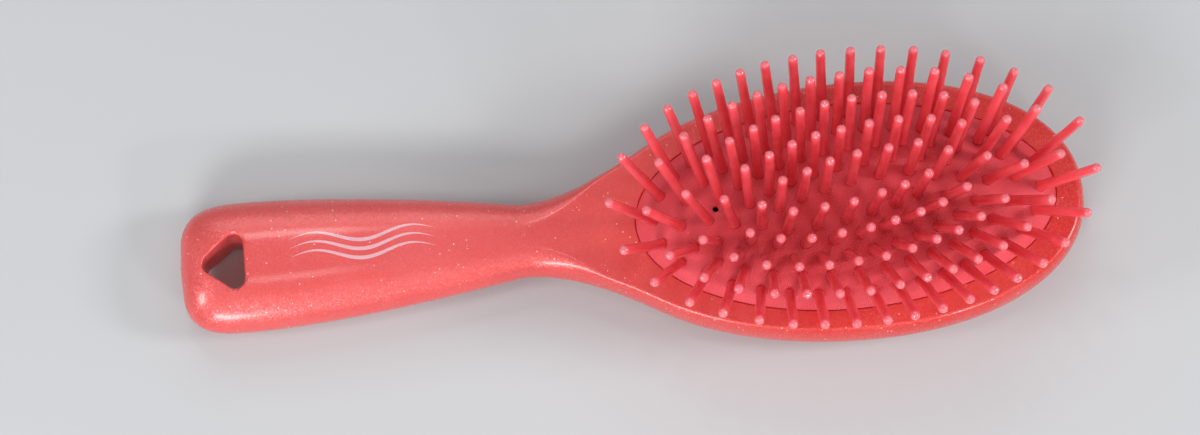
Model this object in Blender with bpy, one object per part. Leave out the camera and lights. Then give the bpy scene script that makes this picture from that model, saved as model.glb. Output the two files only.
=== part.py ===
"""Paddle brush: a one-piece moulded handle and head, an air-cushion rubber, and moulded pins.

The brush lies on its back with its pins up. The origin is under the middle of the cushion's
long axis until the last step, which puts it at the middle of the brush's own box, on the floor.
+X runs from the handle to the tip of the head, +Y across the brush and +Z up through the pins.
"""
import math

import bmesh
import bpy
from mathutils import Matrix, Vector

MM = 0.001

# ---- the cushion's opening and the rim round it ----
CUSHION_LENGTH = 95.4 * MM      # seam between rubber and rim, along the brush
CUSHION_WIDTH = 47.8 * MM       # the same seam, across the brush
RIM_SIDE = 6.1 * MM             # seam to the head's widest line, at the sides
RIM_TIP = 6.9 * MM              # seam to the head's widest line, at the tip
RIM_ROUND = 2.2 * MM            # part of the rim that is rounded over; the rest is flat

# ---- handle ----
LENGTH = 205.0 * MM             # whole brush, tip of the head to end of the handle
NECK_WIDTH = 16.8 * MM
NECK_RUN = 25.8 * MM            # from the seam's end to the narrowest place
HANDLE_WIDTH = 30.0 * MM
HANDLE_END_RADIUS = 16.0 * MM   # length of the rounded end of the handle
SHOULDER_RUN = 12.3 * MM        # how much longer the head's oval is than the seam, on the handle's side
HEAD_MIDDLE_X = 2.4 * MM        # widest place of the head, from the cushion's middle
FLANK_START = 4.7 * MM          # from the seam's end back to where the oval gives way to the flank
TIP_POWER = 2.15                # superellipse of the head towards the tip; 2 is an ellipse
SHOULDER_POWER = 2.0            # and towards the handle
HANDLE_END_POWER = 3.4          # of the handle's rounded end, squarer than an ellipse
SWELL_POWER = 1.6               # how soon the handle fills out behind the neck
GRIP_RUN = 51.0 * MM            # from the neck to where the handle is full thickness

# ---- heights, from the head's flat back ----
RIM_HEIGHT = 13.0 * MM          # the flat rim
HEAD_WIDEST_Z = 8.0 * MM        # the head's widest line
BACK_ROUND = 13.0 * MM          # how far the back's rounding reaches in from the widest line
NECK_THICKNESS = 10.6 * MM
HANDLE_THICKNESS = 14.2 * MM
HANDLE_TOP = 14.2 * MM          # the handle's crown where it is thickest
NECK_TOP = 13.2 * MM
BACK_LIFT_START = 23.7 * MM     # from the seam's end back to where the back starts to rise
CROWN_SHARE = 0.86              # share of the handle's half width that its rounding takes in
SPINE_BLEND = 0.35              # how far the spine's points are spread evenly along the brush

# ---- hanging hole: a triangle with round corners that points to the handle's end ----
HOLE_LENGTH = 9.8 * MM
HOLE_WIDTH = 12.4 * MM
HOLE_CORNER = 2.2 * MM
HOLE_POINT = 0.44 * MM          # how far the pointed corner is drawn in from the hole's length
HOLE_END_WALL = 5.0 * MM        # hole's point to the handle's end

# ---- pocket, and the groove under its lip that holds the cushion's edge ----
POCKET_FLOOR = 2.6 * MM         # plastic left under the pocket
LIP = 1.8 * MM                  # rim plastic over the groove
GROOVE_HEIGHT = 2.2 * MM
GROOVE_DEPTH = 1.8 * MM         # how far the groove runs under the rim
SHELF = 0.8 * MM                # ledge that carries the cushion's edge, inside the seam

# ---- cushion ----
DOME = 5.0 * MM                 # crown of the rubber above the rim
DOME_POWER = 3.5                # higher is flatter in the middle and steeper at the seam
RUBBER = 1.6 * MM
GAP = 0.3 * MM                  # clearance between pieces that touch

# ---- pins, ring by ring from the seam inwards ----
PIN_COUNTS = (36, 30, 26, 20, 14)
STRIPS = (9, 7, 5, 4, 2)        # strips of joined feet in each ring
FIRST_RING_INSET_X = 4.0 * MM   # seam to the outer ring of pins, at the ends
FIRST_RING_INSET_Y = 3.2 * MM   # and at the sides
INNER_RING_LENGTH = 0.4214      # share of the cushion's length; the rings between are spaced evenly
INNER_RING_WIDTH = 0.1715       # share of its width
RING_STARTS = (-0.2, -0.3, 0.0, -0.1, -0.2)   # in pin spacings from the end by the handle
# each ring is sheared a little, so that the rows run aslant: sideways shift of its two ends
RING_SHIFTS = (0.87 * MM, 2.27 * MM, 3.19 * MM, 3.64 * MM, 3.62 * MM)
SPACING_SWING = 0.13            # how much the spacing opens and closes, twice round a ring
SPACING_TURN = 1.7
PIN_LENGTH = 18.9 * MM          # above the rubber
PIN_BASE = 2.5 * MM             # diameter where it leaves the rubber
PIN_TIP = 2.2 * MM              # diameter at the shoulder of the tip
TIP_FLAT = 1.1 * MM
TIP_ROUND = 0.8 * MM
INNER_LEAN = math.radians(3.0)  # how far the inner ring leans out
LEAN_STEP = math.radians(8.0)
FOOT_EDGE = 0.2 * MM            # how far the foot under the rubber stands out round its pin
FOOT_THICKNESS = 0.9 * MM
FOOT_GAP = 1.0 * MM             # rubber's underside to the foot, so that a leaning foot clears
PIN_SIDES = 6

OUTLINE_STATIONS = 44           # along each side of the body
STATION_EVENNESS = 0.25         # 0 crowds the stations into the ends, 1 spaces them evenly
BACK_STEPS = 6                  # of the back's rounding
TOP_STEPS = 5                   # of the rounding on top
CORNER_STEP = math.radians(30)  # along the round corners of the hanging hole
DOME_SIDES = 72
DOME_SHARES = (0.0, 0.05, 0.13, 0.24, 0.38, 0.56, 0.78)   # seam to middle, where the dome is cut
LENGTH_STEPS = 1440             # of a ring's oval, when its length is measured
CUT_OVERRUN = 4.0 * MM          # how far a cutter runs past the face it cuts

SEAM_END_X = -CUSHION_LENGTH / 2
HEAD_SHOULDER = CUSHION_LENGTH / 2 + SHOULDER_RUN
FLANK_X = SEAM_END_X + FLANK_START
NECK_X = SEAM_END_X - NECK_RUN
BACK_LIFT_X = SEAM_END_X + BACK_LIFT_START
FOOT = PIN_BASE + 2 * FOOT_EDGE
HEAD_HALF = CUSHION_WIDTH / 2 + RIM_SIDE
TIP_X = CUSHION_LENGTH / 2 + RIM_TIP
END_X = TIP_X - LENGTH
RING_COUNT = len(PIN_COUNTS)


# ---------------------------------------------------------------- scene and materials

def clear_scene():
    for leftover in list(bpy.data.objects):
        bpy.data.objects.remove(leftover, do_unlink=True)


def make_material(name, colour, roughness, metallic=0.0):
    material = bpy.data.materials.new(name)
    material.use_nodes = True
    shader = material.node_tree.nodes["Principled BSDF"]
    shader.inputs["Base Color"].default_value = (*colour, 1.0)
    shader.inputs["Roughness"].default_value = roughness
    shader.inputs["Metallic"].default_value = metallic
    return material


def make_object(name, mesh_data, material, place=None):
    """Turns a bmesh in world places into an object whose own frame is place."""
    place = place or Matrix.Identity(4)
    bmesh.ops.transform(mesh_data, matrix=place.inverted(), verts=mesh_data.verts)
    bmesh.ops.recalc_face_normals(mesh_data, faces=mesh_data.faces)
    mesh = bpy.data.meshes.new(name)
    mesh_data.to_mesh(mesh)
    mesh_data.free()
    mesh.materials.append(material)
    mesh.shade_smooth()
    mesh.set_sharp_from_angle(angle=math.radians(40))
    made = bpy.data.objects.new(name, mesh)
    made.matrix_world = place
    bpy.context.collection.objects.link(made)
    return made


def cut(target, cutter):
    cutter.hide_render = True
    cutter.display_type = 'WIRE'
    modifier = target.modifiers.new("cut_" + cutter.name, 'BOOLEAN')
    modifier.operation = 'DIFFERENCE'
    modifier.object = cutter


def smooth_step(value):
    value = min(max(value, 0.0), 1.0)
    return value * value * (3 - 2 * value)


def mix(start, end, share):
    return start + (end - start) * share


# ---------------------------------------------------------------- body: handle and head

def head_half_width(x):
    """Half width of the head's oval, blunter at the tip than towards the handle."""
    reach = TIP_X - HEAD_MIDDLE_X if x > HEAD_MIDDLE_X else HEAD_SHOULDER
    power = TIP_POWER if x > HEAD_MIDDLE_X else SHOULDER_POWER
    share = min(abs(x - HEAD_MIDDLE_X) / reach, 1.0)
    return HEAD_HALF * (1 - share ** power) ** (1 / power)


def handle_half_width(x):
    """Half width of the handle: swells from the neck, then rounds off at its end."""
    widest_x = END_X + HANDLE_END_RADIUS
    if x < widest_x:
        share = min((widest_x - x) / HANDLE_END_RADIUS, 1.0)
        return HANDLE_WIDTH / 2 * (1 - share ** HANDLE_END_POWER) ** (1 / HANDLE_END_POWER)
    share = min(max((NECK_X - x) / (NECK_X - widest_x), 0.0), 1.0)
    swell = 1 - (1 - share) ** SWELL_POWER
    return mix(NECK_WIDTH / 2, HANDLE_WIDTH / 2, swell)


def flank_half_width(x):
    """The flank leaves the oval along its slope and runs out level at the neck."""
    run = FLANK_X - NECK_X
    share = (FLANK_X - x) / run
    start = head_half_width(FLANK_X)
    slope = (start - head_half_width(FLANK_X - MM)) / MM * run
    ease = share * share * (3 - 2 * share)
    lead = share * (1 - share) ** 2
    return mix(start, NECK_WIDTH / 2, ease) - slope * lead


def half_width(x):
    if x < NECK_X:
        return handle_half_width(x)
    if x < FLANK_X:
        return flank_half_width(x)
    return head_half_width(x)


def handle_share(x):
    """0 on the head, 1 on the handle, and between them along the shoulder of the neck."""
    head_end = SEAM_END_X - RIM_SIDE
    return smooth_step((head_end - x) / (head_end - NECK_X))


def grip_share(x):
    """0 at the neck and 1 where the handle is full."""
    return smooth_step((NECK_X - x) / GRIP_RUN)


def top_height(x):
    handle_top = mix(NECK_TOP, HANDLE_TOP, grip_share(x))
    return mix(RIM_HEIGHT, handle_top, handle_share(x))


def back_height(x):
    """The back touches the floor under the head and again under the thick of the handle."""
    to_neck = smooth_step((BACK_LIFT_X - x) / (BACK_LIFT_X - NECK_X))
    neck_back = (NECK_TOP - NECK_THICKNESS) * to_neck
    return mix(neck_back, HANDLE_TOP - HANDLE_THICKNESS, grip_share(x))


def widest_height(x):
    middle = (top_height(x) + back_height(x)) / 2
    return mix(HEAD_WIDEST_Z, middle, handle_share(x))


def spine_x(x):
    """Where the middle line runs that an outline point is rounded towards."""
    inner_tip = TIP_X - HEAD_HALF
    inner_end = END_X + HANDLE_WIDTH / 2
    even = mix(inner_end, inner_tip, (x - END_X) / LENGTH)
    nearest = min(max(x, inner_end), inner_tip)
    return mix(nearest, even, SPINE_BLEND)


def outline_stations():
    """Stations along the brush, closer together where its ends curve."""
    stations = []
    for index in range(OUTLINE_STATIONS + 1):
        turn = math.pi * index / OUTLINE_STATIONS
        even = 1 - 2 * index / OUTLINE_STATIONS
        share = mix(math.cos(turn), even, STATION_EVENNESS)
        stations.append(mix(END_X, TIP_X, (share + 1) / 2))
    return stations


def section_ring(stations, turn, reach):
    """One closed ring round the body, turn radians above or, if negative, below its widest line.

    reach is how far the rounding comes in from the outline on the head.
    """
    ring = []
    for side in (1, -1):
        order = stations if side > 0 else list(reversed(stations[1:-1]))
        for x in order:
            limit = top_height(x) if turn > 0 else back_height(x)
            height = mix(widest_height(x), limit, abs(math.sin(turn)))
            share = rounding(x, reach, turn)
            place_x = mix(x, spine_x(x), share)
            place_y = side * half_width(x) * (1 - share)
            ring.append(Vector((place_x, place_y, height)))
    return ring


def rounding(x, reach, turn):
    """Share of the way in at an angle of the quarter turn from the widest line."""
    to_spine = max(math.hypot(half_width(x), spine_x(x) - x), reach)
    full = mix(reach / to_spine, CROWN_SHARE, handle_share(x))
    return full * (1 - math.cos(turn))


def make_body(material):
    stations = outline_stations()
    quarter = math.pi / 2
    rings = [section_ring(stations, -quarter * k / BACK_STEPS, BACK_ROUND) for k in range(BACK_STEPS, 0, -1)]
    rings += [section_ring(stations, quarter * k / TOP_STEPS, RIM_ROUND) for k in range(TOP_STEPS + 1)]
    shell = bmesh.new()
    loops = [[shell.verts.new(point) for point in ring] for ring in rings]
    size = len(loops[0])
    for lower, upper in zip(loops, loops[1:]):
        for k in range(size):
            nxt = (k + 1) % size
            shell.faces.new((lower[k], lower[nxt], upper[nxt], upper[k]))
    for loop in (loops[0], loops[-1]):
        for k in range(OUTLINE_STATIONS):
            across = (loop[k], loop[k + 1], loop[(size - k - 1) % size], loop[(size - k) % size])
            corners = list(dict.fromkeys(across))
            shell.faces.new(corners)
    body = make_object("handle_and_head", shell, material)
    cut(body, make_pocket_cutter())
    cut(body, make_hole_cutter())
    return body


def oval_loft(mesh_data, profile):
    """A closed skin round an oval, through a profile of (inset from the seam, height) points."""
    loops = []
    for inset, height in profile:
        half_x = CUSHION_LENGTH / 2 - inset
        half_y = CUSHION_WIDTH / 2 - inset
        loop = []
        for k in range(DOME_SIDES):
            turn = 2 * math.pi * k / DOME_SIDES
            loop.append(mesh_data.verts.new((half_x * math.cos(turn), half_y * math.sin(turn), height)))
        loops.append(loop)
    for lower, upper in zip(loops, loops[1:]):
        for k in range(DOME_SIDES):
            nxt = (k + 1) % DOME_SIDES
            mesh_data.faces.new((lower[k], lower[nxt], upper[nxt], upper[k]))
    mesh_data.faces.new(loops[0])
    mesh_data.faces.new(loops[-1])


def groove_top():
    return RIM_HEIGHT - LIP


def groove_floor():
    return groove_top() - GROOVE_HEIGHT


def make_pocket_cutter():
    """Pocket, shelf, undercut groove and mouth, as one turned shape."""
    profile = [
        (SHELF, POCKET_FLOOR),
        (SHELF, groove_floor()),
        (-GROOVE_DEPTH, groove_floor()),
        (-GROOVE_DEPTH, groove_top()),
        (0.0, groove_top()),
        (0.0, RIM_HEIGHT + CUT_OVERRUN),
    ]
    cutter = bmesh.new()
    oval_loft(cutter, profile)
    return make_object("pocket_cutter", cutter, bpy.data.materials["body_plastic"])


def hole_outline():
    """Corner centres of the triangle, each rounded by an arc."""
    point_x = END_X + HOLE_END_WALL
    flat_x = point_x + HOLE_LENGTH
    centres = [
        (Vector((point_x + HOLE_POINT + HOLE_CORNER, 0.0)), math.radians(180)),
        (Vector((flat_x - HOLE_CORNER, -HOLE_WIDTH / 2 + HOLE_CORNER)), math.radians(300)),
        (Vector((flat_x - HOLE_CORNER, HOLE_WIDTH / 2 - HOLE_CORNER)), math.radians(60)),
    ]
    outline = []
    for centre, facing in centres:
        for step in range(-2, 3):
            angle = facing + step * CORNER_STEP
            outline.append(centre + HOLE_CORNER * Vector((math.cos(angle), math.sin(angle))))
    return outline


def make_hole_cutter():
    cutter = bmesh.new()
    loops = []
    for height in (-CUT_OVERRUN, HANDLE_TOP + CUT_OVERRUN):
        loops.append([cutter.verts.new((point.x, point.y, height)) for point in hole_outline()])
    size = len(loops[0])
    for k in range(size):
        nxt = (k + 1) % size
        cutter.faces.new((loops[0][k], loops[0][nxt], loops[1][nxt], loops[1][k]))
    for loop in loops:
        cutter.faces.new(loop)
    return make_object("hole_cutter", cutter, bpy.data.materials["body_plastic"])


# ---------------------------------------------------------------- rubber cushion

def dome_height(share):
    """Height of the rubber's top above the rim; share is 0 at the seam and 1 in the middle."""
    return DOME * (1 - (1 - share) ** DOME_POWER)


def make_cushion(material):
    """Dome, skirt through the mouth and edge held in the groove, as one loft round an oval."""
    half_y = CUSHION_WIDTH / 2
    skirt = RUBBER + GAP
    edge_top = groove_top() - GAP
    edge_floor = groove_floor() + GAP
    profile = [(GAP + share * (half_y - GAP), RIM_HEIGHT + dome_height(share)) for share in reversed(DOME_SHARES)]
    profile += [(GAP, edge_top), (-GROOVE_DEPTH + GAP, edge_top), (-GROOVE_DEPTH + GAP, edge_floor)]
    profile += [(skirt, edge_floor)]
    for share in DOME_SHARES[2:]:
        profile.append((GAP + share * (half_y - GAP), RIM_HEIGHT + dome_height(share) - RUBBER))
    rubber = bmesh.new()
    oval_loft(rubber, profile)
    cushion = make_object("cushion", rubber, material)
    cut(cushion, make_pin_hole_cutter())
    return cushion


# ---------------------------------------------------------------- pins

def ring_oval(ring):
    """Half axes of a ring's oval where its pins leave the rubber; ring 0 is the outer one."""
    inwards = ring / (RING_COUNT - 1)
    half_x = mix(CUSHION_LENGTH / 2 - FIRST_RING_INSET_X, CUSHION_LENGTH / 2 * INNER_RING_LENGTH, inwards)
    half_y = mix(CUSHION_WIDTH / 2 - FIRST_RING_INSET_Y, CUSHION_WIDTH / 2 * INNER_RING_WIDTH, inwards)
    return half_x, half_y


def ring_places(ring):
    """Points spaced along the ring's oval, each with its outward direction."""
    half_x, half_y = ring_oval(ring)
    lengths = [0.0]
    before = Vector((-half_x, 0.0))
    for k in range(1, LENGTH_STEPS + 1):
        turn = 2 * math.pi * k / LENGTH_STEPS
        here = Vector((-half_x * math.cos(turn), half_y * math.sin(turn)))
        lengths.append(lengths[-1] + (here - before).length)
        before = here
    places = []
    count = PIN_COUNTS[ring]
    for number in range(count):
        way = (number + RING_STARTS[ring]) / count
        way += SPACING_SWING * math.sin(4 * math.pi * way + SPACING_TURN) / (4 * math.pi)
        wanted = way % 1.0 * lengths[-1]
        k = next(i for i in range(LENGTH_STEPS) if lengths[i + 1] >= wanted)
        part = (wanted - lengths[k]) / (lengths[k + 1] - lengths[k])
        turn = 2 * math.pi * (k + part) / LENGTH_STEPS
        point = Vector((-half_x * math.cos(turn), half_y * math.sin(turn), 0.0))
        outward = Vector((point.x / half_x ** 2, point.y / half_y ** 2, 0.0)).normalized()
        point.y += RING_SHIFTS[ring] * point.x / half_x
        places.append((point, outward))
    return places


def pin_frames(ring):
    """For each pin of a ring: its base on the rubber, its direction and its outward way."""
    share = 1 - ring_oval(ring)[1] / (CUSHION_WIDTH / 2)
    lean = INNER_LEAN + LEAN_STEP * (RING_COUNT - 1 - ring)
    frames = []
    for point, outward in ring_places(ring):
        base = point + Vector((0.0, 0.0, RIM_HEIGHT + dome_height(share)))
        direction = outward * math.sin(lean) + Vector((0.0, 0.0, math.cos(lean)))
        frames.append((base, direction, outward))
    return frames


def pin_loops(mesh_data, frame, profile):
    """Rings of vertices round a pin for a profile of (distance along the pin, radius)."""
    base, direction, outward = frame
    along = Vector((0.0, 0.0, 1.0)).cross(outward)
    across = along.cross(direction)
    loops = []
    for distance, radius in profile:
        centre = base + direction * distance
        loop = []
        for k in range(PIN_SIDES):
            turn = 2 * math.pi * (k + 0.5) / PIN_SIDES
            offset = along * math.cos(turn) + across * math.sin(turn)
            loop.append(mesh_data.verts.new(centre + offset * radius))
        loops.append(loop)
    return loops


def add_pin(mesh_data, frame, open_sides):
    """One pin with its foot; the foot's sides named in open_sides are left out for a web."""
    flat_to_corner = 1 / math.cos(math.pi / PIN_SIDES)
    foot_top = -(RUBBER + FOOT_GAP)
    profile = [
        (foot_top - FOOT_THICKNESS, FOOT / 2 * flat_to_corner),
        (foot_top, FOOT / 2 * flat_to_corner),
        (foot_top, PIN_BASE / 2),
        (PIN_LENGTH - TIP_ROUND, PIN_TIP / 2),
        (PIN_LENGTH, TIP_FLAT / 2),
    ]
    loops = pin_loops(mesh_data, frame, profile)
    for level, (lower, upper) in enumerate(zip(loops, loops[1:])):
        for k in range(PIN_SIDES):
            if level == 0 and k in open_sides:
                continue
            nxt = (k + 1) % PIN_SIDES
            mesh_data.faces.new((lower[k], lower[nxt], upper[nxt], upper[k]))
    mesh_data.faces.new(loops[0])
    mesh_data.faces.new(loops[-1])
    return loops[0], loops[1]


def join_feet(mesh_data, first, second, side_out, side_in):
    """A web between the open foot sides of two neighbouring pins."""
    near = [first[0][side_out], first[0][(side_out + 1) % PIN_SIDES],
            first[1][(side_out + 1) % PIN_SIDES], first[1][side_out]]
    far = [second[0][(side_in + 1) % PIN_SIDES], second[0][side_in],
           second[1][side_in], second[1][(side_in + 1) % PIN_SIDES]]
    for k in range(4):
        nxt = (k + 1) % 4
        mesh_data.faces.new((near[k], near[nxt], far[nxt], far[k]))


def strip_sizes(ring):
    """Splits a ring's pins into its strips as evenly as they go."""
    count, strips = PIN_COUNTS[ring], STRIPS[ring]
    return [count * (k + 1) // strips - count * k // strips for k in range(strips)]


def strip_hinge(frames):
    """Middle of the strip in the rubber, and the axis about which it rocks outwards."""
    middle = sum((frame[0] for frame in frames), Vector()) / len(frames)
    chord = frames[-1][0] - frames[0][0]
    chord.z = 0.0
    return middle - Vector((0.0, 0.0, RUBBER / 2)), -chord.normalized()


def make_strip(name, frames, material):
    strip = bmesh.new()
    facing_next = PIN_SIDES // 2 - 1
    facing_last = PIN_SIDES - 1
    feet = []
    for number, frame in enumerate(frames):
        open_sides = []
        if number < len(frames) - 1:
            open_sides.append(facing_next)
        if number > 0:
            open_sides.append(facing_last)
        feet.append(add_pin(strip, frame, open_sides))
    for first, second in zip(feet, feet[1:]):
        join_feet(strip, first, second, facing_next, facing_last)
    pivot, axis = strip_hinge(frames)
    turned = Matrix.Rotation(math.atan2(axis.y, axis.x), 4, 'Z')
    return make_object(name, strip, material, Matrix.Translation(pivot) @ turned)


def make_pin_hole_cutter():
    """Every pin's hole through the rubber, one prism each along its own pin."""
    cutter = bmesh.new()
    radius = PIN_BASE / 2 + GAP
    for ring in range(RING_COUNT):
        for frame in pin_frames(ring):
            loops = pin_loops(cutter, frame, [(-RUBBER - 2 * FOOT_GAP, radius), (2 * RUBBER, radius)])
            for k in range(PIN_SIDES):
                nxt = (k + 1) % PIN_SIDES
                cutter.faces.new((loops[0][k], loops[0][nxt], loops[1][nxt], loops[1][k]))
            for loop in loops:
                cutter.faces.new(loop)
    return make_object("pin_hole_cutter", cutter, bpy.data.materials["cushion_rubber"])


def make_strips(material, parent):
    for ring in range(RING_COUNT):
        frames = pin_frames(ring)
        start = 0
        for number, size in enumerate(strip_sizes(ring)):
            name = "pins_ring%d_%d" % (ring + 1, number + 1)
            strip = make_strip(name, frames[start:start + size], material)
            strip.parent = parent
            start += size


def main():
    clear_scene()
    body_plastic = make_material("body_plastic", (0.80, 0.10, 0.12), 0.18)
    cushion_rubber = make_material("cushion_rubber", (0.55, 0.03, 0.07), 0.55)
    pin_nylon = make_material("pin_nylon", (0.85, 0.20, 0.28), 0.25)
    whole = bpy.data.objects.new("brush", None)
    bpy.context.collection.objects.link(whole)
    body = make_body(body_plastic)
    cushion = make_cushion(cushion_rubber)
    for piece in (body, cushion):
        piece.parent = whole
    for piece in bpy.data.objects:
        if piece.name.endswith("_cutter"):
            piece.parent = whole
    make_strips(pin_nylon, whole)
    whole.location.x = -(TIP_X + END_X) / 2
    bpy.context.view_layer.update()


main()
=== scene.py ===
import math

import bmesh
import bpy
from mathutils import Matrix, Vector
from mathutils.bvhtree import BVHTree


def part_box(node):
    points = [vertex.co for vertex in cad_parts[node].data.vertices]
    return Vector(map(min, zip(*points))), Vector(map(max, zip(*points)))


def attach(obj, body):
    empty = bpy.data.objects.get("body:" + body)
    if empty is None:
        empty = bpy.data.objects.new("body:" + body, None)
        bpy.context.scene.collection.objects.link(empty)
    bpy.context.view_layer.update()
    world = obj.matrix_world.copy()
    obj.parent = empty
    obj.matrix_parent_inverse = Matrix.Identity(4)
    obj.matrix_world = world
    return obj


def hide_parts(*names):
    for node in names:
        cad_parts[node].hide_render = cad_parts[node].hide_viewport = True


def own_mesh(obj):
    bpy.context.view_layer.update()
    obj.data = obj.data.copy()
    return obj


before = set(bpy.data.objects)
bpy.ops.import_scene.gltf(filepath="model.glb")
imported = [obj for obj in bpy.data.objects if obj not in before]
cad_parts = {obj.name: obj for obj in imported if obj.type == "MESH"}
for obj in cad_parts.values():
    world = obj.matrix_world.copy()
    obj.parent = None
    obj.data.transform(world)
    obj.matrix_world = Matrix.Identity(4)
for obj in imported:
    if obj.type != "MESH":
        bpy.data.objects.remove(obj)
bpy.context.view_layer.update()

# A paddle brush lying on its back: pearl plastic handle and head, air-cushion rubber, nylon pins.

# ---------------------------------------------------------------- handle and head
# One injection moulding in pearl coral plastic: a flat rim round the cushion's pocket, a waisted
# neck and a full handle with a three-cornered hanging hole. Its edges are rounded in the mould,
# and three wavy strands are pad-printed on the handle.

MM = 0.001
SEAM_LENGTH = 95.4 * MM         # the oval where rubber meets rim
SEAM_WIDTH = 47.8 * MM
RIM_SIDE = 6.1 * MM
RIM_TIP = 6.9 * MM
RIM_ROUND = 2.2 * MM
LENGTH = 205.0 * MM
NECK_WIDTH = 16.8 * MM
NECK_X = -73.5 * MM
HANDLE_WIDTH = 30.0 * MM
HANDLE_END_RADIUS = 16.0 * MM
HEAD_SHOULDER = 60.0 * MM
HEAD_MIDDLE_X = 2.4 * MM
FLANK_X = -43.0 * MM
HEAD_TIP_POWER = 2.15           # 2 is a plain ellipse, more is blunter
HEAD_BACK_POWER = 2.0
HANDLE_END_POWER = 3.4
HANDLE_SWELL_POWER = 1.6        # how early the handle fills out behind the neck
GRIP_RUN = 51.0 * MM            # from the neck to the handle's full thickness
BACK_LIFT_X = -24.0 * MM        # where the back starts to rise towards the neck
SPINE_EVEN = 0.35               # how evenly the rounding's spine is spread along the brush
RIM_HEIGHT = 13.0 * MM
HEAD_WIDEST_Z = 8.0 * MM
BACK_ROUND = 13.0 * MM
NECK_THICKNESS = 10.6 * MM
HANDLE_THICKNESS = 14.2 * MM
HANDLE_TOP = 14.2 * MM
NECK_TOP = 13.2 * MM
HOLE_LENGTH = 9.8 * MM
HOLE_WIDTH = 12.4 * MM
HOLE_CORNER = 2.2 * MM
HOLE_END_WALL = 5.0 * MM
HOLE_LIP = 1.0 * MM             # rounding of the hole's edges
HOLE_LIP_TURN = math.radians(58.0)
POCKET_FLOOR = 2.6 * MM
LIP = 1.8 * MM
GROOVE_HEIGHT = 2.2 * MM
GROOVE_DEPTH = 1.8 * MM
SHELF = 0.8 * MM
MOUTH_LIP = 0.35 * MM           # rounding of the pocket's mouth
MOUTH_LIP_TURN = math.radians(80.0)
CUT_PAST = 4.0 * MM             # how far the cutting tools stand out of the surface
CROWN_SHARE = 0.86              # how much of the handle's half width is rounded over

HEAD_HALF = SEAM_WIDTH / 2 + RIM_SIDE
TIP_X = SEAM_LENGTH / 2 + RIM_TIP
END_X = TIP_X - LENGTH
cushion_low, cushion_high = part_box("cushion")
to_frame = Matrix.Translation(((cushion_low.x + cushion_high.x) / 2, 0.0, 0.0))


def mix(start, end, share):
    return start + (end - start) * share


def smooth_step(value):
    value = min(max(value, 0.0), 1.0)
    return value * value * (3 - 2 * value)


def head_half_width(x):
    """Half width of the head's oval, blunter at the tip than towards the handle."""
    reach = TIP_X - HEAD_MIDDLE_X if x > HEAD_MIDDLE_X else HEAD_SHOULDER
    power = HEAD_TIP_POWER if x > HEAD_MIDDLE_X else HEAD_BACK_POWER
    share = min(abs(x - HEAD_MIDDLE_X) / reach, 1.0)
    return HEAD_HALF * (1 - share ** power) ** (1 / power)


def handle_half_width(x):
    """Half width of the handle: swells from the neck, then rounds off at its end."""
    widest_x = END_X + HANDLE_END_RADIUS
    if x < widest_x:
        share = min((widest_x - x) / HANDLE_END_RADIUS, 1.0)
        return HANDLE_WIDTH / 2 * (1 - share ** HANDLE_END_POWER) ** (1 / HANDLE_END_POWER)
    share = min(max((NECK_X - x) / (NECK_X - widest_x), 0.0), 1.0)
    return mix(NECK_WIDTH / 2, HANDLE_WIDTH / 2, 1 - (1 - share) ** HANDLE_SWELL_POWER)


def flank_half_width(x):
    """The flank leaves the oval along its slope and runs out level at the neck."""
    run = FLANK_X - NECK_X
    share = (FLANK_X - x) / run
    start = head_half_width(FLANK_X)
    slope = (start - head_half_width(FLANK_X - MM)) / MM * run
    return mix(start, NECK_WIDTH / 2, smooth_step(share)) - slope * share * (1 - share) ** 2


def half_width(x):
    if x < NECK_X:
        return handle_half_width(x)
    if x < FLANK_X:
        return flank_half_width(x)
    return head_half_width(x)


def handle_share(x):
    """0 on the head, 1 on the handle, and between them along the shoulder of the neck."""
    head_end = -SEAM_LENGTH / 2 - RIM_SIDE
    return smooth_step((head_end - x) / (head_end - NECK_X))


def grip_share(x):
    return smooth_step((NECK_X - x) / GRIP_RUN)


def top_height(x):
    return mix(RIM_HEIGHT, mix(NECK_TOP, HANDLE_TOP, grip_share(x)), handle_share(x))


def back_height(x):
    to_neck = smooth_step((BACK_LIFT_X - x) / (BACK_LIFT_X - NECK_X))
    return mix((NECK_TOP - NECK_THICKNESS) * to_neck, HANDLE_TOP - HANDLE_THICKNESS, grip_share(x))


def spine_x(x):
    inner_tip = TIP_X - HEAD_HALF
    inner_end = END_X + HANDLE_WIDTH / 2
    even = mix(inner_end, inner_tip, (x - END_X) / LENGTH)
    return even * SPINE_EVEN + min(max(x, inner_end), inner_tip) * (1 - SPINE_EVEN)


def section_ring(stations, turn, reach):
    """One closed ring round the body, turn radians above (or below) its widest line."""
    ring = []
    for side in (1, -1):
        for x in (stations if side > 0 else stations[-2:0:-1]):
            middle = mix(HEAD_WIDEST_Z, (top_height(x) + back_height(x)) / 2, handle_share(x))
            limit = top_height(x) if turn > 0 else back_height(x)
            to_spine = max(math.hypot(half_width(x), spine_x(x) - x), reach)
            inward = mix(reach / to_spine, CROWN_SHARE, handle_share(x)) * (1 - math.cos(turn))
            ring.append(Vector((mix(x, spine_x(x), inward), side * half_width(x) * (1 - inward),
                                mix(middle, limit, abs(math.sin(turn))))))
    return ring


def skin(mesh_data, rings):
    """Quads between closed rings of points, and a face over each end."""
    loops = [[mesh_data.verts.new(point) for point in ring] for ring in rings]
    size = len(loops[0])
    for lower, upper in zip(loops, loops[1:]):
        for k in range(size):
            nxt = (k + 1) % size
            mesh_data.faces.new((lower[k], lower[nxt], upper[nxt], upper[k]))
    return loops


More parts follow.
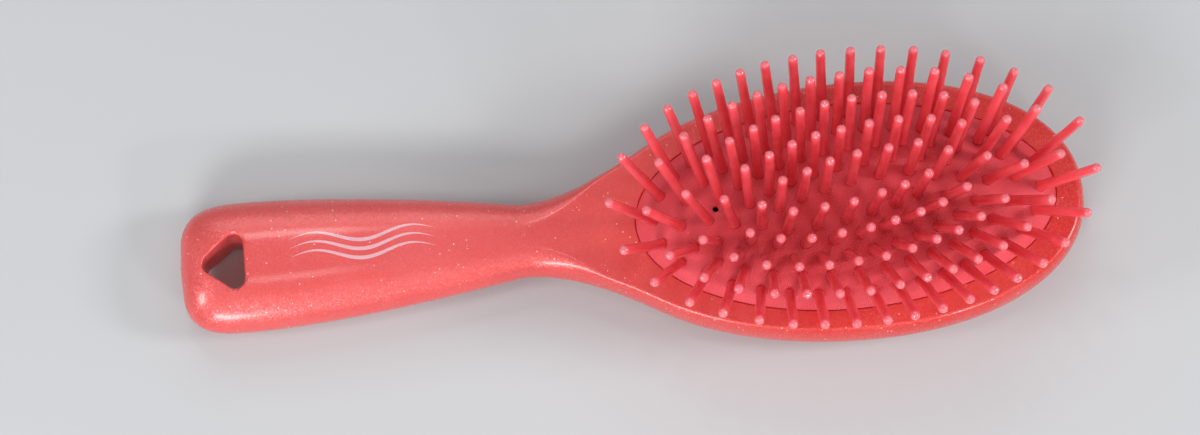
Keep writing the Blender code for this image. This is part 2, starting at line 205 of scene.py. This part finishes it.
def finish_mesh(name, mesh_data, material, sharp=32.0):
    """Turns a bmesh in the brush's own places into an object that lies in the frame."""
    bmesh.ops.transform(mesh_data, matrix=to_frame, verts=mesh_data.verts)
    bmesh.ops.recalc_face_normals(mesh_data, faces=mesh_data.faces)
    mesh = bpy.data.meshes.new(name)
    mesh_data.to_mesh(mesh)
    mesh_data.free()
    if material:
        mesh.materials.append(material)
    mesh.shade_smooth()
    mesh.set_sharp_from_angle(angle=math.radians(sharp))
    made = bpy.data.objects.new(name, mesh)
    bpy.context.scene.collection.objects.link(made)
    return made


def oval(inset, height, sides):
    half_x, half_y = SEAM_LENGTH / 2 - inset, SEAM_WIDTH / 2 - inset
    turns = [2 * math.pi * k / sides for k in range(sides)]
    return [Vector((half_x * math.cos(turn), half_y * math.sin(turn), height)) for turn in turns]


def body_shell(stations_count=150, steps=14):
    stations = []
    for index in range(stations_count + 1):
        even = 1 - 2 * index / stations_count
        share = mix(math.cos(math.pi * index / stations_count), even, 0.25)
        stations.append(mix(END_X, TIP_X, (share + 1) / 2))
    quarter = math.pi / 2
    rings = [section_ring(stations, -quarter * k / steps, BACK_ROUND) for k in range(steps, 0, -1)]
    rings += [section_ring(stations, quarter * k / steps, RIM_ROUND) for k in range(steps + 1)]
    shell = bmesh.new()
    loops = skin(shell, rings)
    size = len(loops[0])
    for loop in (loops[0], loops[-1]):
        for k in range(stations_count):
            across = (loop[k], loop[k + 1], loop[(size - k - 1) % size], loop[(size - k) % size])
            shell.faces.new(list(dict.fromkeys(across)))
    return shell


def hole_ring(outset):
    """The hanging hole's outline, three rounded corners, let out by outset."""
    point_x = END_X + HOLE_END_WALL
    flat_x = point_x + HOLE_LENGTH
    corners = ((point_x + HOLE_CORNER * 1.2, 0.0, 180.0),
               (flat_x - HOLE_CORNER, -HOLE_WIDTH / 2 + HOLE_CORNER, 300.0),
               (flat_x - HOLE_CORNER, HOLE_WIDTH / 2 - HOLE_CORNER, 60.0))
    arcs = []
    for x, y, facing in corners:
        for step in range(-6, 7):
            angle = math.radians(facing + step * 10.0)
            way_out = Vector((math.cos(angle), math.sin(angle)))
            arcs.append(Vector((x, y)) + (HOLE_CORNER + outset) * way_out)
    outline = []
    for here, after in zip(arcs, arcs[1:] + arcs[:1]):
        pieces = max(1, round((after - here).length / (0.8 * MM)))
        outline += [here.lerp(after, k / pieces) for k in range(pieces)]
    return outline


def hole_cutter(shell):
    """A prism through the handle that flares out along a rounded lip at both faces."""
    surface = BVHTree.FromBMesh(shell)
    steps = 6
    count = len(hole_ring(0.0))
    rings = []
    for side in (-1, 1):
        flare = []
        for k in range(steps + 1):
            turn = HOLE_LIP_TURN * k / steps
            sink = HOLE_LIP * (math.sin(HOLE_LIP_TURN) - math.sin(turn))
            outline = hole_ring(HOLE_LIP * (1 - math.cos(turn)))
            outline = [outline[round(i * len(outline) / count) % len(outline)] for i in range(count)]
            ring = []
            for point in outline:
                start = Vector((point.x, point.y, side * 0.1))
                hit = surface.ray_cast(start, Vector((0.0, 0.0, -side)))[0]
                ring.append(hit - Vector((0.0, 0.0, side * sink)))
            flare.append(ring)
        beyond = [point + Vector((0.0, 0.0, side * CUT_PAST)) for point in flare[-1]]
        flare.append(beyond)
        rings += flare if side > 0 else flare[::-1]
    cutter = bmesh.new()
    loops = skin(cutter, rings)
    cutter.faces.new(loops[0])
    cutter.faces.new(loops[-1])
    return cutter


def pocket_cutter(sides=192, steps=5):
    groove_top = RIM_HEIGHT - LIP
    groove_floor = groove_top - GROOVE_HEIGHT
    profile = [(SHELF, POCKET_FLOOR), (SHELF, groove_floor), (-GROOVE_DEPTH, groove_floor),
               (-GROOVE_DEPTH, groove_top), (0.0, groove_top)]
    for k in range(steps + 1):
        turn = MOUTH_LIP_TURN * k / steps
        profile.append((-MOUTH_LIP * (1 - math.cos(turn)),
                        RIM_HEIGHT - MOUTH_LIP * (math.sin(MOUTH_LIP_TURN) - math.sin(turn))))
    profile.append((profile[-1][0], RIM_HEIGHT + CUT_PAST))
    cutter = bmesh.new()
    loops = skin(cutter, [oval(inset, height, sides) for inset, height in profile])
    cutter.faces.new(loops[0])
    cutter.faces.new(loops[-1])
    return cutter


def cut(target, cutter):
    modifier = target.modifiers.new("cut", 'BOOLEAN')
    modifier.operation = 'DIFFERENCE'
    modifier.object = cutter


def apply_modifiers(target):
    """Keeps the shape its modifiers give, and clears them away."""
    graph = bpy.context.evaluated_depsgraph_get()
    mesh = bpy.data.meshes.new_from_object(target.evaluated_get(graph),
                                           preserve_all_data_layers=True, depsgraph=graph)
    cutters = {m.object for m in target.modifiers if m.type == 'BOOLEAN'}
    target.modifiers.clear()
    target.data = mesh
    for cutter in cutters:
        bpy.data.objects.remove(cutter)


class Nodes:
    """Short ways to add and join a material's nodes."""

    def __init__(self, name):
        self.material = bpy.data.materials.new(name)
        self.material.use_nodes = True
        self.tree = self.material.node_tree
        self.shader = self.tree.nodes["Principled BSDF"]
        self.place = self.tree.nodes.new("ShaderNodeTexCoord").outputs["Object"]

    def add(self, kind, inputs=None, **settings):
        node = self.tree.nodes.new(kind)
        for key, value in settings.items():
            setattr(node, key, value)
        for key, value in (inputs or {}).items():
            if isinstance(value, bpy.types.NodeSocket):
                self.tree.links.new(value, node.inputs[key])
            else:
                node.inputs[key].default_value = value
        return node

    def math(self, operation, first, second=0.0, third=0.0, clamp=False):
        return self.add("ShaderNodeMath", {0: first, 1: second, 2: third},
                        operation=operation, use_clamp=clamp).outputs[0]

    def blend(self, share, first, second, kind='MIX'):
        node = self.add("ShaderNodeMix", data_type='RGBA', blend_type=kind)
        for socket, value in zip((node.inputs[0], node.inputs[6], node.inputs[7]), (share, first, second)):
            if isinstance(value, bpy.types.NodeSocket):
                self.tree.links.new(value, socket)
            else:
                socket.default_value = value
        return node.outputs[2]

    def ramp(self, value, low, high, to_low=0.0, to_high=1.0):
        return self.add("ShaderNodeMapRange", {0: value, 1: low, 2: high, 3: to_low, 4: to_high},
                        interpolation_type='SMOOTHSTEP').outputs[0]

    def noise(self, scale, detail=2.0, place=None):
        return self.add("ShaderNodeTexNoise", {"Vector": place or self.place, "Scale": scale, "Detail": detail})

    def set(self, **values):
        for name, value in values.items():
            socket = self.shader.inputs[name.replace("_", " ")]
            if isinstance(value, bpy.types.NodeSocket):
                self.tree.links.new(value, socket)
            else:
                socket.default_value = value


def pearl_plastic():
    """Coral plastic full of fine mica: a soft glow under a clear skin, with sparse painted glints, and painted shade
    that deepens the red towards the head.
    """
    coral = (0.80, 0.085, 0.085, 1.0)
    head_coral_painted_shade = (0.74, 0.024, 0.021, 1.0)
    mica = (1.0, 0.50, 0.42, 1.0)
    ink = (0.84, 0.50, 0.56, 1.0)
    n = Nodes("pearl_coral_plastic")
    split = n.add("ShaderNodeSeparateXYZ", {0: n.place})
    x, y, z = split.outputs
    cloud = n.noise(55.0, 3.0).outputs[0]
    # painted shade: the colour runs from coral on the handle to a darker, deeper red on the head, standing in for the
    # flat rim reflecting a dark room
    head_shade_share = n.ramp(n.math('MULTIPLY_ADD', cloud, 0.03, x), -0.035, 0.075)
    base = n.blend(head_shade_share, coral, head_coral_painted_shade)
    base = n.blend(n.ramp(cloud, 0.35, 0.7, 0.0, 0.14), base, (0.95, 0.22, 0.20, 1.0))

    # fine mica everywhere, and a few large flakes painted as bright glints (painted highlights)
    fine = n.add("ShaderNodeTexVoronoi", {"Vector": n.place, "Scale": 5200.0})
    fine_pick = n.add("ShaderNodeSeparateColor", {0: fine.outputs["Color"]})
    base = n.blend(n.ramp(fine_pick.outputs[0], 0.55, 1.0, 0.0, 0.13), base, mica)
    coarse = n.add("ShaderNodeTexVoronoi", {"Vector": n.place, "Scale": 1500.0})
    coarse_pick = n.add("ShaderNodeSeparateColor", {0: coarse.outputs["Color"]})
    glint = n.math('MULTIPLY', n.ramp(coarse_pick.outputs[1], 0.955, 0.965),
                   n.ramp(coarse.outputs["Distance"], 0.32, 0.16))
    base = n.blend(n.math('MULTIPLY', glint, 0.75), base, (1.0, 0.72, 0.60, 1.0))

    # three wavy strands, printed on top of the handle
    start, length, strand, stroke = -0.0775, 0.033, 0.0021, 0.00042
    middle_y, sway, lowest_z = 0.0014, 0.0013, 0.0115
    along = n.math('DIVIDE', n.math('SUBTRACT', x, start), length)
    taper = n.math('SINE', n.math('MULTIPLY', n.math('MINIMUM', n.math('MAXIMUM', along, 0.0), 1.0), math.pi))
    wave = n.math('SINE', n.math('MULTIPLY', along, 3.0 * math.pi))
    across = n.math('SUBTRACT', n.math('SUBTRACT', y, middle_y), n.math('MULTIPLY', wave, sway))
    nearest = n.math('PINGPONG', across, strand / 2)
    line = n.ramp(n.math('SUBTRACT', nearest, n.math('MULTIPLY', taper, stroke)), 0.00004, -0.00004)
    few = n.math('LESS_THAN', n.math('ABSOLUTE', across), strand * 1.5)
    printed = n.math('MULTIPLY', n.math('MULTIPLY', line, few),
                     n.math('MULTIPLY', n.math('GREATER_THAN', taper, 0.02), n.math('GREATER_THAN', z, lowest_z)))
    base = n.blend(n.math('MULTIPLY', printed, 0.9), base, ink)

    # each flake tips the surface its own way
    tilt = n.add("ShaderNodeVectorMath", {0: fine.outputs["Color"], 1: (0.5, 0.5, 0.5)}, operation='SUBTRACT')
    tilt = n.add("ShaderNodeVectorMath", {0: tilt.outputs[0], "Scale": 0.30}, operation='SCALE')
    geometry = n.add("ShaderNodeNewGeometry")
    bent = n.add("ShaderNodeVectorMath", {0: geometry.outputs["Normal"], 1: tilt.outputs[0]}, operation='ADD')
    bent = n.add("ShaderNodeVectorMath", {0: bent.outputs[0]}, operation='NORMALIZE')
    rub = n.noise(900.0, 4.0).outputs[0]
    n.set(Base_Color=base, Metallic=0.22, Roughness=n.ramp(rub, 0.3, 0.75, 0.30, 0.40), Normal=bent.outputs[0],
          Coat_Weight=0.55, Coat_Roughness=0.16, Coat_IOR=1.5, IOR=1.5, Subsurface_Weight=0.12,
          Subsurface_Radius=(1.0, 0.25, 0.2), Subsurface_Scale=0.0015)
    skin_bump = n.add("ShaderNodeBump", {"Strength": 0.25, "Distance": 0.00002,
                                         "Height": n.noise(420.0, 2.0).outputs[0]})
    n.tree.links.new(skin_bump.outputs[0], n.shader.inputs["Coat Normal"])
    return n.material


plastic = pearl_plastic()
shell = body_shell()
hole_tool = finish_mesh("hole_tool", hole_cutter(shell), None)
body = finish_mesh("handle_and_head_moulding", shell, plastic)
cut(body, finish_mesh("pocket_tool", pocket_cutter(), None))
cut(body, hole_tool)
soften = body.modifiers.new("normals", 'WEIGHTED_NORMAL')
soften.keep_sharp = True
apply_modifiers(body)
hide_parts("handle_and_head")
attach(body, "root")

# ---------------------------------------------------------------- cushion
# A thin crimson rubber moulding, domed so that the air in the pocket springs it back. Its edge is
# pushed into the groove under the rim, its face is embossed with a fine slanting weave, and one
# small hole lets the air out.

DOME = 5.0 * MM
DOME_POWER = 3.5
RUBBER = 1.6 * MM
GAP = 0.3 * MM
SEAM_GAP = 0.12 * MM
VENT_X = -29.8 * MM
VENT_Y = 0.7 * MM
VENT = 1.3 * MM
WEAVE_TURN = math.radians(28.0)
WEAVE_PITCH_ALONG = 0.60 * MM
WEAVE_PITCH_ACROSS = 0.78 * MM
DOME_EDGE_DROP = 0.25 * MM      # the dome starts this far below the rim


def dome_height(share):
    """Height of the rubber's top above the rim; share is 0 at the seam and 1 in the middle."""
    return DOME * (1 - (1 - share) ** DOME_POWER)


def rubber_shell(sides=192, steps=26):
    half_y = SEAM_WIDTH / 2
    groove_top = RIM_HEIGHT - LIP
    shares = [(k / steps) ** 1.5 * 0.985 for k in range(steps + 1)]
    edge_top, edge_floor = groove_top - GAP, groove_top - GROOVE_HEIGHT + GAP
    drop = DOME_EDGE_DROP
    profile = [(SEAM_GAP + share * (half_y - SEAM_GAP),
                RIM_HEIGHT - drop + (DOME + drop) / DOME * dome_height(share))
               for share in reversed(shares)]
    profile += [(SEAM_GAP, edge_top), (-GROOVE_DEPTH + GAP, edge_top), (-GROOVE_DEPTH + GAP, edge_floor)]
    profile += [(RUBBER + GAP, edge_floor)]
    profile += [(GAP + share * (half_y - GAP), RIM_HEIGHT + dome_height(share) - RUBBER)
                for share in shares if share > 0.12]
    rubber = bmesh.new()
    loops = skin(rubber, [oval(inset, height, sides) for inset, height in profile])
    rubber.faces.new(loops[0])
    rubber.faces.new(loops[-1])
    return rubber


def vent_cutter(sides=20):
    cutter = bmesh.new()
    top = RIM_HEIGHT + DOME
    rings = []
    for radius, height in ((VENT / 2, top - 3 * RUBBER), (VENT / 2, top - 0.55 * MM),
                           (VENT / 2 * 1.35, top + 0.4 * MM)):
        rings.append([Vector((VENT_X + radius * math.cos(2 * math.pi * k / sides),
                              VENT_Y + radius * math.sin(2 * math.pi * k / sides), height)) for k in range(sides)])
    loops = skin(cutter, rings)
    cutter.faces.new(loops[0])
    cutter.faces.new(loops[-1])
    return cutter


def crimson_rubber():
    """Satin rubber with rows of tiny raised dots, painted paler on the rises and darker in the hollows as painted
    shade, and a few specks of dust.
    """
    n = Nodes("crimson_rubber")
    turned = n.add("ShaderNodeMapping", {"Vector": n.place, "Rotation": (0.0, 0.0, WEAVE_TURN)})
    split = n.add("ShaderNodeSeparateXYZ", {0: turned.outputs[0]})
    first = n.math('SINE', n.math('MULTIPLY', split.outputs[0], 2 * math.pi / WEAVE_PITCH_ALONG))
    second = n.math('SINE', n.math('MULTIPLY', split.outputs[1], 2 * math.pi / WEAVE_PITCH_ACROSS))
    weave = n.math('MULTIPLY_ADD', n.math('MULTIPLY', first, second), 0.5, 0.5)
    cloud = n.noise(140.0, 3.0).outputs[0]
    base = n.blend(n.ramp(cloud, 0.3, 0.75), (0.78, 0.036, 0.052, 1.0), (0.86, 0.080, 0.105, 1.0))
    # painted shade: the weave's hollows keep the deeper crimson while its rises are painted paler, as if lit
    base = n.blend(n.ramp(weave, 0.30, 0.95, 0.0, 0.5), base, (0.82, 0.12, 0.17, 1.0))
    dust = n.add("ShaderNodeTexVoronoi", {"Vector": n.place, "Scale": 700.0})
    picked = n.add("ShaderNodeSeparateColor", {0: dust.outputs["Color"]})
    speck = n.math('MULTIPLY', n.ramp(picked.outputs[0], 0.985, 0.99),
                   n.ramp(dust.outputs["Distance"], 0.14, 0.08))
    base = n.blend(n.math('MULTIPLY', speck, 0.5), base, (0.85, 0.45, 0.25, 1.0))
    bump = n.add("ShaderNodeBump", {"Strength": 0.9, "Distance": 0.00012, "Height": weave})
    n.set(Base_Color=base, Roughness=n.ramp(cloud, 0.3, 0.7, 0.44, 0.54), Normal=bump.outputs[0],
          Specular_IOR_Level=0.45, Sheen_Weight=0.12, Sheen_Roughness=0.4, Subsurface_Weight=0.08,
          Subsurface_Radius=(1.0, 0.2, 0.15), Subsurface_Scale=0.001)
    return n.material


rubber_look = crimson_rubber()
cushion = finish_mesh("cushion_rubber", rubber_shell(), rubber_look, sharp=40.0)
cut(cushion, finish_mesh("vent_tool", vent_cutter(), None))
apply_modifiers(cushion)
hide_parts("cushion")
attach(cushion, "root")
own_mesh(cushion)

# ---------------------------------------------------------------- pins
# Moulded nylon pins with a collar that sits on the rubber, a slim taper and a ball-smooth tip.
# Each was pushed up through the rubber and is held by the disc on its foot; five rings of them
# lean further out towards the rim.

PIN_COUNTS = (36, 30, 26, 20, 14)
STRIPS = (9, 7, 5, 4, 2)
FIRST_RING_INSET_X = 4.0 * MM
FIRST_RING_INSET_Y = 3.2 * MM
RING_STEP_X = 5.9 * MM
RING_STEP_Y = 4.15 * MM
RING_STARTS = (-0.2, -0.3, 0.0, -0.1, -0.2)
RING_SHIFTS = (0.87 * MM, 2.27 * MM, 3.19 * MM, 3.64 * MM, 3.62 * MM)
SPACING_SWING = 0.13
SPACING_TURN = 1.7
PIN_LENGTH = 18.9 * MM
PIN_FOOT_DEPTH = 3.5 * MM       # from the foot's underside up to the rubber's top
PIN_WIDEST_RADIUS = 1.45 * MM
INNER_LEAN = math.radians(3.0)
LEAN_STEP = math.radians(8.0)
OVAL_STEPS = 1440               # steps in which a ring's oval is measured


def ring_places(ring):
    """Points spaced along the ring's oval, each with its outward direction."""
    half_x = SEAM_LENGTH / 2 - FIRST_RING_INSET_X - ring * RING_STEP_X
    half_y = SEAM_WIDTH / 2 - FIRST_RING_INSET_Y - ring * RING_STEP_Y
    steps = OVAL_STEPS
    lengths = [0.0]
    before = Vector((-half_x, 0.0))
    for k in range(1, steps + 1):
        turn = 2 * math.pi * k / steps
        here = Vector((-half_x * math.cos(turn), half_y * math.sin(turn)))
        lengths.append(lengths[-1] + (here - before).length)
        before = here
    places = []
    for number in range(PIN_COUNTS[ring]):
        way = (number + RING_STARTS[ring]) / PIN_COUNTS[ring]
        way += SPACING_SWING * math.sin(4 * math.pi * way + SPACING_TURN) / (4 * math.pi)
        wanted = way % 1.0 * lengths[-1]
        k = next(i for i in range(steps) if lengths[i + 1] >= wanted)
        turn = 2 * math.pi * (k + (wanted - lengths[k]) / (lengths[k + 1] - lengths[k])) / steps
        point = Vector((-half_x * math.cos(turn), half_y * math.sin(turn), 0.0))
        outward = Vector((point.x / half_x ** 2, point.y / half_y ** 2, 0.0)).normalized()
        point.y += RING_SHIFTS[ring] * point.x / half_x
        places.append((point, outward))
    return places


def pin_frames(ring):
    """For each pin of a ring: its base on the rubber and its direction."""
    inset = FIRST_RING_INSET_Y + ring * RING_STEP_Y
    height = RIM_HEIGHT + dome_height(inset / (SEAM_WIDTH / 2))
    lean = INNER_LEAN + LEAN_STEP * (len(PIN_COUNTS) - 1 - ring)
    return [(to_frame @ (point + Vector((0.0, 0.0, height))),
             outward * math.sin(lean) + Vector((0.0, 0.0, math.cos(lean))))
            for point, outward in ring_places(ring)]


def pin_tree():
    """Geometry nodes: a pin turned from its length and radii, set on every point along its lean."""
    tree = bpy.data.node_groups.new("pins_on_points", 'GeometryNodeTree')
    face = tree.interface
    face.new_socket("Points", in_out='INPUT', socket_type='NodeSocketGeometry')
    for name, kind, value in (("Pin Length", 'NodeSocketFloat', PIN_LENGTH),
                              ("Foot Depth", 'NodeSocketFloat', PIN_FOOT_DEPTH),
                              ("Widest Radius", 'NodeSocketFloat', PIN_WIDEST_RADIUS), ("Sides", 'NodeSocketInt', 14),
                              ("Unevenness", 'NodeSocketFloat', 0.012), ("Seed", 'NodeSocketInt', 4),
                              ("Material", 'NodeSocketMaterial', None)):
        socket = face.new_socket(name, in_out='INPUT', socket_type=kind)
        if value is not None:
            socket.default_value = value
    face.new_socket("Pins", in_out='OUTPUT', socket_type='NodeSocketGeometry')

    def add(kind, inputs=None, **settings):
        node = tree.nodes.new(kind)
        for key, value in settings.items():
            setattr(node, key, value)
        for key, value in (inputs or {}).items():
            if isinstance(value, bpy.types.NodeSocket):
                tree.links.new(value, node.inputs[key])
            else:
                node.inputs[key].default_value = value
        return node

    given = add("NodeGroupInput").outputs
    # stations along the pin, from the foot's underside to the top of the tip: (way along, radius) in mm
    full = PIN_LENGTH + PIN_FOOT_DEPTH
    stations = [(0.0, 1.45), (0.9, 1.45), (0.95, 1.20), (3.45, 1.20), (3.5, 1.40), (4.0, 1.37), (4.5, 1.25),
                (5.4, 1.22), (20.4, 1.12), (21.3, 1.10)]
    stations += [(21.3 + 1.1 * math.sin(math.radians(a)), 1.1 * math.cos(math.radians(a))) for a in (24, 46, 66, 82)]
    levels = len(stations) - 1
    column = add("GeometryNodeMeshCylinder", {"Vertices": given["Sides"], "Side Segments": levels,
                                              "Radius": 1.0, "Depth": 1.0})
    place = add("GeometryNodeInputPosition").outputs[0]
    split = add("ShaderNodeSeparateXYZ", {0: place}).outputs
    level = add("ShaderNodeMath", {0: split[2], 1: 0.5}, operation='ADD').outputs[0]
    curves = []
    for pick in (0, 1):
        node = add("ShaderNodeFloatCurve", {"Value": level})
        curve = node.mapping.curves[0]
        for k, station in enumerate(stations):
            value = station[pick] * MM / (full, PIN_WIDEST_RADIUS)[pick]
            if k in (0, levels):
                point = curve.points[0 if k == 0 else -1]
                point.location = (k / levels, value)
            else:
                point = curve.points.new(k / levels, value)
            point.handle_type = 'VECTOR'
        node.mapping.update()
        curves.append(node.outputs[0])
    whole = add("ShaderNodeMath", {0: given["Pin Length"], 1: given["Foot Depth"]}, operation='ADD').outputs[0]
    height = add("ShaderNodeMath", {0: curves[0], 1: whole}, operation='MULTIPLY').outputs[0]
    height = add("ShaderNodeMath", {0: height, 1: given["Foot Depth"]}, operation='SUBTRACT').outputs[0]
    radius = add("ShaderNodeMath", {0: curves[1], 1: given["Widest Radius"]}, operation='MULTIPLY').outputs[0]
    new_x = add("ShaderNodeMath", {0: split[0], 1: radius}, operation='MULTIPLY').outputs[0]
    new_y = add("ShaderNodeMath", {0: split[1], 1: radius}, operation='MULTIPLY').outputs[0]
    turned = add("ShaderNodeCombineXYZ", {0: new_x, 1: new_y, 2: height}).outputs[0]
    kept = add("GeometryNodeStoreNamedAttribute",
               {"Geometry": column.outputs[0], "Name": "along_pin", "Value": curves[0]},
               data_type='FLOAT', domain='POINT')
    shaped = add("GeometryNodeSetPosition", {"Geometry": kept.outputs[0], "Position": turned})
    smooth = add("GeometryNodeSetShadeSmooth", {"Geometry": shaped.outputs[0]})
    lean = add("GeometryNodeInputNamedAttribute", {"Name": "lean"}, data_type='FLOAT_VECTOR').outputs[0]
    wobble = add("FunctionNodeRandomValue", {"Seed": given["Seed"]}, data_type='FLOAT_VECTOR')
    wobble.inputs[0].default_value = (-1.0, -1.0, -1.0)
    wobble.inputs[1].default_value = (1.0, 1.0, 1.0)
    swing = add("ShaderNodeVectorMath", {0: wobble.outputs[0], "Scale": given["Unevenness"]},
                operation='SCALE').outputs[0]
    aim = add("ShaderNodeVectorMath", {0: lean, 1: swing}, operation='ADD').outputs[0]
    rotation = add("FunctionNodeAlignRotationToVector", {"Vector": aim}, axis='Z')
    copies = add("GeometryNodeInstanceOnPoints", {"Points": given["Points"], "Instance": smooth.outputs[0],
                                                  "Rotation": rotation.outputs[0]})
    real = add("GeometryNodeRealizeInstances", {0: copies.outputs[0]})
    painted = add("GeometryNodeSetMaterial", {"Geometry": real.outputs[0], "Material": given["Material"]})
    out = add("NodeGroupOutput")
    tree.links.new(painted.outputs[0], out.inputs[0])
    return tree


def pink_nylon():
    """Nylon that lets a little light through: rose in the shaft, darkened towards the rubber as painted shade, and
    paler where the tip is lit all round, painted as a glow.
    """
    n = Nodes("rose_nylon")
    along = n.add("ShaderNodeAttribute", attribute_name="along_pin").outputs["Fac"]
    cloud = n.noise(260.0, 2.0).outputs[0]
    shaft = n.blend(n.ramp(cloud, 0.3, 0.7), (0.86, 0.085, 0.105, 1.0), (0.90, 0.120, 0.145, 1.0))
    # painted shade: the lower shaft is darkened towards the rubber, where it stands among the other pins
    shaft = n.blend(n.ramp(along, 0.15, 0.6), n.blend(0.5, shaft, (0.74, 0.030, 0.045, 1.0)), shaft)
    # painted light: the tip is painted paler, a glow standing in for light passing through it from all round
    base = n.blend(n.ramp(along, 0.92, 0.985, 0.0, 0.5), shaft, (0.87, 0.18, 0.23, 1.0))
    bump = n.add("ShaderNodeBump", {"Strength": 0.12, "Distance": 0.00001, "Height": n.noise(700.0, 1.0).outputs[0]})
    n.set(Base_Color=base, Roughness=n.ramp(cloud, 0.35, 0.7, 0.11, 0.16), Normal=bump.outputs[0], IOR=1.53,
          Specular_IOR_Level=0.85, Coat_Weight=1.0, Coat_Roughness=0.06, Coat_IOR=1.6,
          Subsurface_Weight=0.6, Subsurface_Radius=(1.0, 0.30, 0.32), Subsurface_Scale=0.0020)
    return n.material


nylon = pink_nylon()
pins_on_points = pin_tree()
sockets = {item.name: item.identifier for item in pins_on_points.interface.items_tree if item.in_out == 'INPUT'}
for ring, (count, strips) in enumerate(zip(PIN_COUNTS, STRIPS)):
    frames = pin_frames(ring)
    for strip in range(strips):
        held = frames[count * strip // strips:count * (strip + 1) // strips]
        points = bpy.data.meshes.new("bases")
        points.from_pydata([base for base, _ in held], [], [])
        lean = points.attributes.new("lean", 'FLOAT_VECTOR', 'POINT')
        lean.data.foreach_set("vector", [value for _, way in held for value in way])
        maker = bpy.data.objects.new("maker", points)
        bpy.context.scene.collection.objects.link(maker)
        modifier = maker.modifiers.new("pins", 'NODES')
        modifier.node_group = pins_on_points
        modifier[sockets["Material"]] = nylon
        modifier[sockets["Seed"]] = 10 * ring + strip
        graph = bpy.context.evaluated_depsgraph_get()
        mesh = bpy.data.meshes.new_from_object(maker.evaluated_get(graph),
                                               preserve_all_data_layers=True, depsgraph=graph)
        bpy.data.objects.remove(maker)
        body_name = "pins_ring%d_%d" % (ring + 1, strip + 1)
        row = bpy.data.objects.new("nylon_" + body_name, mesh)
        bpy.context.scene.collection.objects.link(row)
        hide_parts(body_name)
        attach(row, body_name)

# ---------------------------------------------------------------- studio
# A pale floor and soft light: a lamp to each side, broad fills from the front and the back, two
# small boxes over the handle, two low ones in front of the brush, and a faint cool surround.

FLOOR_REACH = 3.0
FLOOR_DROP = 0.0002             # the floor lies just under the back of the head
CAMERA_PLACE = (-0.03505, -0.17473, 0.65835)
CAMERA_TURNS = ((0.091, 'Z'), (0.041, 'Y'), (-0.268, 'X'))
CAMERA_LENS = 89.49

floor_mesh = bpy.data.meshes.new("floor")
floor_corners = [(x * FLOOR_REACH, y * FLOOR_REACH, -FLOOR_DROP) for x, y in ((-1, -1), (1, -1), (1, 1), (-1, 1))]
floor_mesh.from_pydata(floor_corners, [], [(0, 1, 2, 3)])
floor_look = Nodes("floor_card")
floor_tone = floor_look.blend(floor_look.noise(6.0, 2.0).outputs[0], (0.53, 0.54, 0.55, 1.0), (0.58, 0.59, 0.60, 1.0))
floor_look.set(Base_Color=floor_tone, Roughness=0.65, Specular_IOR_Level=0.3)
floor_mesh.materials.append(floor_look.material)
floor = bpy.data.objects.new("floor", floor_mesh)
bpy.context.scene.collection.objects.link(floor)


def soft_box(name, place, aim, width, height, power, colour=(1.0, 1.0, 1.0)):
    lamp = bpy.data.lights.new(name, 'AREA')
    lamp.shape = 'RECTANGLE'
    lamp.size, lamp.size_y, lamp.energy, lamp.color = width, height, power, colour
    made = bpy.data.objects.new(name, lamp)
    made.location = place
    made.rotation_euler = (Vector(aim) - Vector(place)).to_track_quat('-Z', 'Y').to_euler()
    bpy.context.scene.collection.objects.link(made)


over_brush = (0.03, 0.0, 0.02)
soft_box("left_lamp", (-0.62, -0.10, 0.42), over_brush, 0.16, 0.16, 1.35)
soft_box("right_lamp", (0.68, -0.10, 0.42), over_brush, 0.18, 0.18, 2.6)
soft_box("handle_over", (-0.120, 0.00, 0.85), (-0.06, 0.0, 0.0), 0.10, 0.10, 0.22)
soft_box("handle_back", (-0.12, 0.50, 0.80), (-0.06, 0.0, 0.0), 0.14, 0.12, 0.55)
soft_box("front_fill", (0.10, -0.62, 1.05), over_brush, 0.9, 0.5, 1.2)
soft_box("back_fill", (0.05, 0.95, 0.75), over_brush, 1.2, 0.4, 2.3)
soft_box("front_right", (0.36, -0.62, 0.34), (-0.05, 0.0, 0.01), 0.10, 0.05, 1.0)
soft_box("front_strip", (-0.26, -0.50, 0.34), (-0.08, 0.0, 0.01), 0.26, 0.12, 2.0)

world = bpy.data.worlds.new("surround")
world.use_nodes = True
world.node_tree.nodes["Background"].inputs[0].default_value = (0.93, 0.96, 1.0, 1.0)
world.node_tree.nodes["Background"].inputs[1].default_value = 0.27
bpy.context.scene.world = world
bpy.context.scene.view_settings.view_transform = 'Standard'

camera = bpy.data.objects.new("camera", bpy.data.cameras.new("camera"))
about_z, about_y, about_x = (Matrix.Rotation(angle, 3, axis) for angle, axis in CAMERA_TURNS)
turn = about_z @ about_y @ about_x
camera.matrix_world = Matrix.Translation(CAMERA_PLACE) @ turn.transposed().to_4x4()
camera.data.lens = CAMERA_LENS
camera.data.sensor_width = 36.0
camera.data.clip_start = 0.01
bpy.context.scene.collection.objects.link(camera)
bpy.context.scene.camera = camera

bpy.context.view_layer.update()
